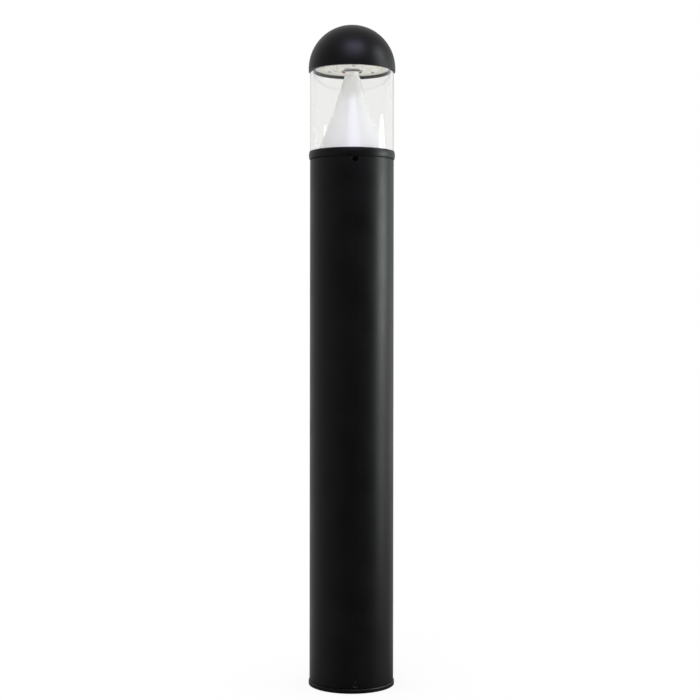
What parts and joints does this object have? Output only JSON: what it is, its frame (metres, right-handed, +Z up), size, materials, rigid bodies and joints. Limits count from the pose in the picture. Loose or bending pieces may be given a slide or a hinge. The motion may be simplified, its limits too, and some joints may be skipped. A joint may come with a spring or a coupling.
{
  "type": "bollard light",
  "caption": "Dome-top bollard light: a painted round post with a clear lens tube round a cone reflector, lit from a domed cap, on a flanged anchor base.",
  "frame": {"origin": "centre of the anchor base's underside, at ground level", "axes": "+Z up along the post; -Y is the front, where one screw of each set of three shows a few degrees to the right; +X is the viewer's right"},
  "size_m": [0.1406, 0.1406, 1.067],
  "materials": {
    "powder_coat": "satin black polyester powder coat, fine texture",
    "clear_lens": "clear, smooth drawn tube",
    "reflector_white": "semi-gloss white enamel",
    "seal_rubber": "matt black moulded rubber",
    "board_white": "white solder mask",
    "led_phosphor": "yellow phosphor in clear resin",
    "bare_aluminium": "milled",
    "zinc_steel": "zinc plated",
    "black_oxide": "black oxide",
    "stainless": "plain stainless",
    "brass_lug": "plain",
    "driver_case": "moulded",
    "surge_case": "moulded",
    "terminal_white": "moulded",
    "wire_red": "extruded insulation",
    "wire_black": "extruded insulation"
  },
  "bodies": {
    "base": {"anchor_base": "powder_coat", "earth_lug": "brass_lug", "earth_screw": "brass_lug"},
    "column": {"shaft_tube": "powder_coat", "base_set_screws": "stainless"},
    "head": {"head_casting": "powder_coat", "collar_gasket": "seal_rubber", "head_screws": "black_oxide", "lens_gasket_low": "seal_rubber", "lens_tube": "clear_lens", "cone_reflector": "reflector_white", "reflector_screws": "zinc_steel", "tie_washer": "zinc_steel", "tie_nut": "zinc_steel", "gear_tray": "bare_aluminium", "tray_screws": "zinc_steel", "led_driver": "driver_case", "driver_screws": "zinc_steel", "driver_leads": "wire_red", "lead_terminal": "terminal_white", "surge_protector": "surge_case", "surge_screws": "zinc_steel", "surge_leads": "wire_black", "supply_terminal": "terminal_white", "supply_leads": "wire_black", "terminal_screws": "zinc_steel"},
    "dome": {"dome_cap": "powder_coat", "lens_gasket_top": "seal_rubber", "heat_plate": "bare_aluminium", "plate_screws": "zinc_steel", "led_board": "board_white", "led_chips": "led_phosphor", "board_screws": "zinc_steel", "rod_seal": "seal_rubber", "tie_rod": "zinc_steel", "led_lead_red": "wire_red", "led_lead_black": "wire_black"}
  },
  "joints": [
    {"name": "shaft_lift", "type": "slide", "parent": "base", "child": "column", "axis": [0, 0, 1], "range_m": [0, 0.07]},
    {"name": "head_lift", "type": "slide", "parent": "column", "child": "head", "axis": [0, 0, 1], "range_m": [0, 0.305]},
    {"name": "dome_lift", "type": "slide", "parent": "head", "child": "dome", "axis": [0, 0, 1], "range_m": [0, 0.165]}
  ]
}
